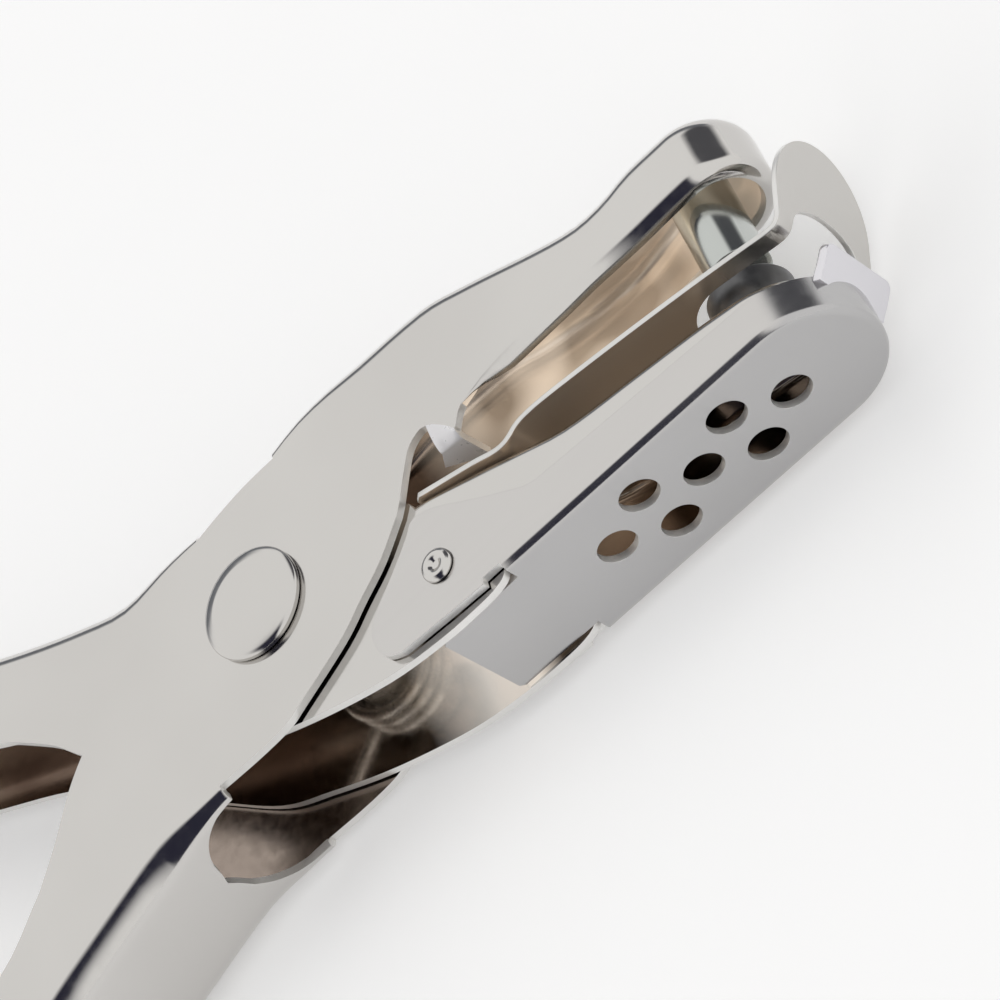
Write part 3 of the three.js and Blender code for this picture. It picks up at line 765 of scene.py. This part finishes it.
def build_lower_lever():
    skin = Skin()
    join, handle = LOWER_JAW_JOIN, LOWER_HANDLE_JOIN
    jaw_xs = sorted(set(spread(19, join, 10) + spread(join, NOSE, 12)))
    half = constant(LOWER_HALF)
    jaw_edge = dome(skin, jaw_xs, NOSE, half, lower_back, constant(LOWER_RIM),
                    ease(LOWER_FOLD_START, LOWER_FOLD, 19, 27), 1, wall_from=join)
    handle_xs = sorted(set(spread(-4, handle, 16) + spread(handle, HANDLE_END, 26)), reverse=True)
    handle_edge = dome(skin, handle_xs, HANDLE_END, half, high_handle_back, high_handle_lip,
                       ease(FOLD_START, FOLD, -4, -16), 1, wall_from=handle)
    free_low = (
        [(join, LOWER_RIM)]
        + spline([(24.7, LOWER_RIM), (24.6, -17.1), (24, -17.7), (22.6, -18.1), (20.2, -18.25),
                  (16, -18.2), (10, -17.5), (4.2, -16), (-2.2, -13.8), (-8.3, -11.1), (-13.8, -8.3),
                  (-20, -2.6), (-24.9, 2.2), (-27.6, 5.8), (handle, high_handle_lip(handle))])
    )
    free_high = spline([(-4, 12.8), (0, 11.65), (3, 10.3), (8, 6.2), (13, 1.4), (18.6, -2.6)])
    wall = [(x, y, LOWER_HALF) for x, y in free_low]
    handle_join = near_edge(handle_edge, handle, handle)[0]
    wall += join_column(handle, high_handle_lip(handle), handle_join[1], LOWER_HALF)[1:-1]
    wall += near_edge(handle_edge, handle, -4)[::-1]
    wall += [(x, y, LOWER_HALF) for x, y in free_high[1:]]
    wall += near_edge(jaw_edge, 19, join)
    jaw_join = near_edge(jaw_edge, join, join)[0]
    wall += join_column(join, jaw_join[1], LOWER_RIM, LOWER_HALF)[1:-1]
    skin.both(wall)
    return sheet_object("lower_lever_pressing", skin.bm, LEVER_SHEET, LOWER_METALS, "lower_lever_body",
                        (0, 0, LOWER_HALF), (0, 0, 1), "lower_lever")


# ---------------------------------------------------------------- chip catcher
def build_chip_catcher():
    skin = Skin()
    nose = COVER_NOSE
    xs = [TONGUE_FRONT] + spread(27, nose, 15)
    nose_steps = 2 * NOSE_STEPS

    def plan(inset):
        reach = COVER_HALF - inset * COVER_FOLD
        line = [(x, reach) for x in xs]
        for i in range(1, nose_steps + 1):
            angle = i / nose_steps * math.pi / 2
            z = reach * math.cos(angle) if i < nose_steps else 0.0
            line.append((nose + reach * math.sin(angle), z))
        return line

    rings = []
    for i in range(COVER_FOLD_STEPS + 1):
        angle = i / COVER_FOLD_STEPS * math.pi / 2
        rings.append([(x, COVER_PLATE + COVER_FOLD * (1 - math.sin(angle)), z)
                      for x, z in plan(1 - math.cos(angle))])
    for low, high in zip(rings, rings[1:]):
        for i in range(len(low) - 1):
            skin.both([low[i], low[i + 1], high[i + 1], high[i]])
    edge = rings[0]
    for a, b in zip(edge, edge[1:]):
        if a[0] < nose - 1e-6:
            continue
        skin.both([(a[0], COVER_RIM, a[2]), (b[0], COVER_RIM, b[2]), b, a])
    ear = (
        spline([(nose, COVER_RIM), (45, -12.8), (34.4, -12.3), (31, -12), (28, -10.4), (24.8, -8.4),
                (21.6, -6.3), (19.6, -5.5), (18.4, -5.6), (17.2, -6.8), (14.4, -9), (11.6, -11),
                (10.2, -12.6), (9.9, -14.4), (10.5, -16.2), (12.2, -17.1)])
        + [(18.4, -17.45), (22.6, -17.6), (22.7, -16.95)]
    )
    wall = [(x, y, COVER_HALF) for x, y in ear] + [p for p in edge if p[0] <= nose + 1e-6]
    skin.both(wall)

    # the flat plate: outline and vents filled in one go
    inner = rings[-1]
    loop = [(x, COVER_PLATE, z) for x, _, z in inner]
    tongue = [(TONGUE_FRONT, TONGUE_HALF), (COVER_REAR, TONGUE_HALF), (TONGUE_REAR + 0.5, TONGUE_HALF),
              (TONGUE_REAR, TONGUE_HALF - 0.5)]
    half_loop = [(x, COVER_PLATE, z) for x, z in reversed(tongue)] + loop
    outline = half_loop + [(x, y, -z) for x, y, z in reversed(half_loop) if z > 1e-6]
    verts = [skin.vert(p) for p in outline]
    edges = []
    for a, b in zip(verts, verts[1:] + verts[:1]):
        edges.append(skin.bm.edges.get((a, b)) or skin.bm.edges.new((a, b)))
    for i in range(-2, 3):
        x = VENT_MIDDLE + VENT_PITCH * i
        for z in ([0.0] if i % 2 == 0 else [VENT_ROW, -VENT_ROW]):
            angles = [k / VENT_STEPS * math.tau for k in range(VENT_STEPS)]
            ring = [
                skin.vert((x + VENT_RADIUS * math.cos(angle), COVER_PLATE,
                           z + VENT_RADIUS * math.sin(angle)))
                for angle in angles
            ]
            edges += [skin.bm.edges.new((a, b)) for a, b in zip(ring, ring[1:] + ring[:1])]
    bmesh.ops.triangle_fill(skin.bm, edges=edges, use_beauty=True, use_dissolve=False)
    return sheet_object("chip_catcher_pressing", skin.bm, COVER_SHEET,
                        [cover_nickel, inside_painted_shade_and_glow, cut_edge], "catcher_body", (40, COVER_PLATE, 7.0),
                        (0, -1, 0), "chip_catcher", bevel=0.08)


def build_thumb_tab():
    """The turned-up lip at the catcher's nose, with rounded corners."""
    line = spline([(63.9, -14.5), (64.3, -13.95), (64.9, -13.35), (65.5, -12.65), (66.4, -11.55)], 5)
    length = sum((Vector(b) - Vector(a)).length for a, b in zip(line, line[1:]))
    corner = THUMB_CORNER
    outline = [(0, THUMB_HALF)]
    for i in range(7):
        angle = i / 6 * math.pi / 2
        outline.append((length - corner + corner * math.sin(angle),
                        THUMB_HALF - corner + corner * math.cos(angle)))
    outline += [(s, -z) for s, z in reversed(outline)]
    bm = bmesh.new()
    bm.faces.new([bm.verts.new((s, 0, z)) for s, z in outline])
    bend_flat(bm, line)
    return sheet_object("catcher_thumb_tab", bm, COVER_SHEET, [thumb_nickel], "catcher_body",
                        (65, -13.2, 0), (0.6, -0.8, 0), "chip_catcher", bevel=0.16)


# ---------------------------------------------------------------- stripper strip
def foot_height(x):
    return FOOT_Y + FOOT_SLOPE * (x - FOOT_X)


def build_strip():
    bends = spline([(FOOT_X, FOOT_Y), (26.3, -4.345), (28.6, -5.05), (29.9, -5.2), (31, -4.9), (32, -4.45),
                    (33.6, -4.25), (36.8, -4.4), (46, -5.4), (55.3, -6.6), (62.2, -7.68)], 5)
    bends += spline([(62.2, -7.68), (63.0, -7.72), (63.65, -7.5), (64.1, -7.0), (64.4, -6.36)], 4)[1:]
    lean = Vector((math.cos(FAN_ANGLE), math.sin(FAN_ANGLE)))
    fan_top = Vector(FAN_FOOT) + lean * FAN_HEIGHT
    line = [(FOOT_REAR, foot_height(FOOT_REAR))] + bends + [tuple(fan_top)]
    lengths = [0.0]
    for a, b in zip(line, line[1:]):
        lengths.append(lengths[-1] + (Vector(b) - Vector(a)).length)
    total = lengths[-1]

    def s_at(x):
        i = max(k for k in range(len(line) - 1) if line[k][0] <= x)
        share = (x - line[i][0]) / (line[i + 1][0] - line[i][0])
        return lengths[i] + share * (lengths[i + 1] - lengths[i])

    half, slot = STRIP_HALF, STRIP_SLOT
    die_s = s_at(STRIP_SLOT_X)
    arch_s = total - FAN_HEIGHT + 0.4
    steps = 28
    right = [(0.6, half), (total - half, half)]
    right += [(total - half + half * math.sin(i / steps * math.pi / 2),
               half * math.cos(i / steps * math.pi / 2)) for i in range(1, steps)]
    right += [(total, 0.0)]
    arch = [(arch_s + ARCH_HEIGHT * math.cos(i / 16 * math.pi / 2), slot * math.sin(i / 16 * math.pi / 2))
            for i in range(17)]
    ring = [(die_s - slot * math.sin(i / 20 * math.pi / 2), slot * math.cos(i / 20 * math.pi / 2))
            for i in range(21)]
    outline = [(0.0, 0.0), (0.0, half - 0.6)] + right + arch + ring
    outline[-1] = (die_s - slot, 0.0)
    outline[len(outline) - len(ring) - len(arch)] = (arch_s + ARCH_HEIGHT, 0.0)
    skin = Skin()
    skin.both([(s, 0.0, z) for s, z in outline])
    bend_flat(skin.bm, line)
    bmesh.ops.remove_doubles(skin.bm, verts=skin.bm.verts, dist=1e-4)
    obj = sheet_object("stripper_strip_bent", skin.bm, STRIP_SHEET, [strip_steel, strip_under_painted_reflection, cut_edge],
                       "lower_lever_body", (45, -5.3, 6.5), (0, 1, 0), "stripper_strip",
                       bevel=0.08)
    obj.modifiers["sheet"].offset = 0
    return obj


# ---------------------------------------------------------------- turned parts
def die_place():
    """The die leans forward so that its bore meets the punch when the jaws are closed."""
    tip = (PUNCH_X * math.cos(CLOSE_ANGLE) + PUNCH_TIP * math.sin(CLOSE_ANGLE),
           PUNCH_TIP * math.cos(CLOSE_ANGLE) - PUNCH_X * math.sin(CLOSE_ANGLE))
    return (tip[0] + (DIE_TOP - tip[1]) * math.tan(CLOSE_ANGLE), DIE_TOP, 0)


def build_punch():
    back = upper_back(PUNCH_X)
    seat = back - LEVER_SHEET - 0.15
    profile = rounded([
        (0, PUNCH_TIP + 0.5), (PUNCH_RADIUS - 0.5, PUNCH_TIP), (PUNCH_RADIUS, PUNCH_TIP + 0.05),
        (PUNCH_RADIUS, seat - 0.3), (PUNCH_RADIUS - 0.3, seat), (2.0, seat), (2.0, back),
        (1.7, back + 0.25), (0, back + 0.3),
    ], 0.08)
    obj = solid_object("punch_turned", lathe(profile, 64, "y", (PUNCH_X, 0, 0)), polished,
                       "upper_lever_body", "punch_pin")
    round_edges(obj, 0.03, 30)


def build_die():
    profile = rounded([
        (DIE_BORE, -6.4), (DIE_SHANK, -6.6), (DIE_SHANK, -4.8), (DIE_RADIUS, -4.8),
        (DIE_RADIUS, -0.35), (DIE_RADIUS - 0.3, 0.0), (DIE_BORE + 0.15, 0.0), (DIE_BORE, -0.15),
        (DIE_BORE, -6.4),
    ], 0.1)
    solid_object("die_turned", lathe(profile, 72, "y", die_place(), -CLOSE_ANGLE), blackened,
                 "lower_lever_body", "die_button")


def build_pivot():
    half = [(PIVOT_SHANK, HEAD_IN), (HEAD_RADIUS - 0.1, HEAD_IN), (HEAD_RADIUS, HEAD_IN + 0.15),
            (HEAD_RADIUS, HEAD_TOP - 0.62), (HEAD_RADIUS - 0.12, HEAD_TOP - 0.44),
            (HEAD_RADIUS - 0.4, HEAD_TOP - 0.3), (HEAD_RADIUS - 0.9, HEAD_TOP - 0.15),
            (HEAD_RADIUS - 1.35, HEAD_TOP - 0.04), (HEAD_RADIUS - 1.7, HEAD_TOP), (0, HEAD_TOP)]
    rivet = rounded([(r, -z) for r, z in half[::-1]] + half, 0.15)
    solid_object("pivot_rivet_set", lathe(rivet, 96), nickel, "lower_lever_body", "pivot_rivet")
    end = LOWER_IN - 0.15
    spacer = rounded([(SPACER_BORE, -end), (SPACER_RADIUS, -end), (SPACER_RADIUS, end),
                      (SPACER_BORE, end), (SPACER_BORE, -end)], 0.1)
    solid_object("pivot_spacer_turned", lathe(spacer, 48), wire_steel, "lower_lever_body",
                 "pivot_spacer")


def build_catcher_rivets():
    tail, face = LOWER_IN - 0.15, COVER_HALF + 0.1
    profile = rounded([
        (0, tail - 0.5), (1.3, tail - 0.5), (1.4, tail - 0.1), (0.95, tail), (0.95, face), (1.75, face),
        (1.75, face + 0.15), (1.62, face + 0.38), (1.3, face + 0.56), (0.98, face + 0.6),
        (0.72, face + 0.5), (0.42, face + 0.26), (0, face + 0.2),
    ], 0.1, 4)
    for name, side in (("near", 1), ("far", -1)):
        bm = lathe(profile, 40)
        bm.transform(Matrix.Translation((*CATCHER_PIN, 0)) @ Matrix.Scale(side, 4, (0, 0, 1)))
        solid_object(f"catcher_rivet_{name}_set", bm, nickel, "lower_lever_body",
                     f"catcher_rivet_{name}")


def build_strip_rivets():
    profile = rounded([
        (0, -2.3), (1.35, -2.3), (1.35, -1.85), (0.8, -1.7), (0.8, 0.45), (1.5, 0.5), (1.42, 0.85),
        (1.1, 1.1), (0.6, 1.22), (0, 1.25),
    ], 0.15)
    for i, z in enumerate(STRIP_RIVET_ZS, 1):
        place = (STRIP_RIVET_X, foot_height(STRIP_RIVET_X), z)
        solid_object(f"strip_rivet_{i}_set", lathe(profile, 32, "y", place, math.atan(FOOT_SLOPE)),
                     nickel, "lower_lever_body", f"strip_rivet_{i}")


def coil(u):
    """Point on the spring's coil, u from 0 to 1."""
    angle = COIL_START + u * COIL_TURNS * math.tau
    return Vector((COIL_RADIUS * math.cos(angle), COIL_RADIUS * math.sin(angle),
                   (u - 0.5) * COIL_PITCH * COIL_TURNS))


def build_spring():
    """Wire swept along leg, coil, leg."""
    first = Vector((*SPRING_LEGS[0], coil(0).z))
    last = Vector((*SPRING_LEGS[1], coil(1).z))
    leg_steps, coil_steps, sides = 8, 150, 14
    line = [first.lerp(coil(0), i / leg_steps) for i in range(leg_steps)]
    line += [coil(i / coil_steps) for i in range(coil_steps + 1)]
    line += [coil(1).lerp(last, i / leg_steps) for i in range(1, leg_steps + 1)]
    bm = bmesh.new()
    rings = []
    for i, point in enumerate(line):
        along = (line[min(i + 1, len(line) - 1)] - line[max(i - 1, 0)]).normalized()
        across = along.cross(Vector((0, 0, 1))).normalized()
        other = along.cross(across)
        angles = [k / sides * math.tau for k in range(sides)]
        rings.append([
            bm.verts.new(point + WIRE_RADIUS * (math.cos(angle) * across + math.sin(angle) * other))
            for angle in angles
        ])
    for low, high in zip(rings, rings[1:]):
        for k in range(sides):
            bm.faces.new([low[k], low[(k + 1) % sides], high[(k + 1) % sides], high[k]])
    bm.faces.new(rings[0][::-1])
    bm.faces.new(rings[-1])
    bmesh.ops.recalc_face_normals(bm, faces=bm.faces)
    obj = linked_object("torsion_spring_wound", bm, [wire_steel])
    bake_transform(obj)
    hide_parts("torsion_spring")


build_upper_lever()
build_lower_lever()
build_chip_catcher()
build_thumb_tab()
build_strip()
build_punch()
build_die()
build_pivot()
build_catcher_rivets()
build_strip_rivets()
build_spring()


# ---------------------------------------------------------------- floor, light and camera
FLOOR_HALF = 3.0  # metres
FLOOR_GLOW = 0.27  # keeps the pale floor as light as the sky round it
CAMERA_LENS = 161.75
CAMERA_PLACE = (156.066, -280.595, 292.04)  # millimetres from the pivot in the middle plane
CAMERA_AZIMUTH = math.radians(-64.531)
CAMERA_ELEVATION = math.radians(43.565)
CAMERA_ROLL = math.radians(-60.314)


def build_floor():
    mesh = bpy.data.meshes.new("floor")
    size = FLOOR_HALF
    mesh.from_pydata([(-size, -size, 0), (size, -size, 0), (size, size, 0), (-size, size, 0)], [],
                     [(0, 1, 2, 3)])
    material, nodes, links, shader = new_material("pale_floor")
    mottle = noise_node(nodes, links, 30, 3)
    shade = nodes.new("ShaderNodeMix")
    shade.data_type = "RGBA"
    shade.inputs["A"].default_value = (0.90, 0.90, 0.90, 1)
    shade.inputs["B"].default_value = (0.92, 0.92, 0.92, 1)
    links.new(mottle, shade.inputs["Factor"])
    links.new(shade.outputs["Result"], shader.inputs["Base Color"])
    shader.inputs["Roughness"].default_value = 0.9
    shader.inputs["Specular IOR Level"].default_value = 0.0
    shader.inputs["Emission Color"].default_value = (1, 1, 1, 1)
    shader.inputs["Emission Strength"].default_value = FLOOR_GLOW
    mesh.materials.append(material)
    floor = bpy.data.objects.new("floor", mesh)
    bpy.context.scene.collection.objects.link(floor)


def sky_range(nodes, links, direction, none, full):
    """0 to 1 as the sky's component along direction goes from none to full."""
    coords = nodes.new("ShaderNodeTexCoord")
    dot = nodes.new("ShaderNodeVectorMath")
    dot.operation = "DOT_PRODUCT"
    dot.inputs[1].default_value = Vector(direction).normalized()
    links.new(coords.outputs["Generated"], dot.inputs[0])
    return ranged(nodes, links, dot.outputs["Value"], 0, 1, none, full)


# Dark panels round the light tent, which the folds and rounded edges reflect: the first in front,
# the second a low bank behind, the third towards the nose. Each has (direction, none, full) limits
# that all have to hold, and a colour.
DARK_PANELS = [
    ([((-0.31, -0.69, 0.65), 0.56, 0.76), ((1, 0, 0), 0.06, -0.10), ((1, 0, 0), -0.68, -0.50)],
     (0.03, 0.03, 0.05)),
    ([((0, 0, 1), 0.40, 0.26), ((0, 0, 1), -0.02, 0.02), ((-0.12, 1, 0), 0.62, 0.80)],
     (0.20, 0.21, 0.23)),
    ([((0.60, 0.65, 0.47), 0.90, 0.955)], (0.10, 0.10, 0.11)),
]


def build_light():
    world = bpy.data.worlds.new("studio")
    bpy.context.scene.world = world
    world.use_nodes = True
    nodes, links = world.node_tree.nodes, world.node_tree.links
    background = nodes["Background"]
    colour = (1.0, 0.995, 0.985, 1)
    for limits, shade in DARK_PANELS:
        mix = nodes.new("ShaderNodeMix")
        mix.data_type = "RGBA"
        if isinstance(colour, tuple):
            mix.inputs["A"].default_value = colour
        else:
            links.new(colour, mix.inputs["A"])
        mix.inputs["B"].default_value = (*shade, 1)
        factor = product(nodes, links, [sky_range(nodes, links, *limit) for limit in limits])
        links.new(factor, mix.inputs["Factor"])
        colour = mix.outputs["Result"]
    links.new(colour, background.inputs["Color"])
    background.inputs["Strength"].default_value = 1.0


def build_camera():
    camera = bpy.data.cameras.new("camera")
    camera.sensor_width = 36
    camera.lens = CAMERA_LENS
    camera.clip_start = 0.01
    camera.clip_end = 20
    obj = bpy.data.objects.new("camera", camera)
    place = Matrix.Translation(Vector(CAMERA_PLACE) * MM + Vector((0, 0, MIDDLE * MM)))
    swing = Matrix.Rotation(CAMERA_AZIMUTH + math.pi / 2, 4, "Z")
    tilt = Matrix.Rotation(math.pi / 2 - CAMERA_ELEVATION, 4, "X")
    obj.matrix_world = place @ swing @ tilt @ Matrix.Rotation(CAMERA_ROLL, 4, "Z")
    bpy.context.scene.collection.objects.link(obj)
    bpy.context.scene.camera = obj


build_floor()
build_light()
build_camera()
bpy.context.scene.view_settings.view_transform = "Standard"
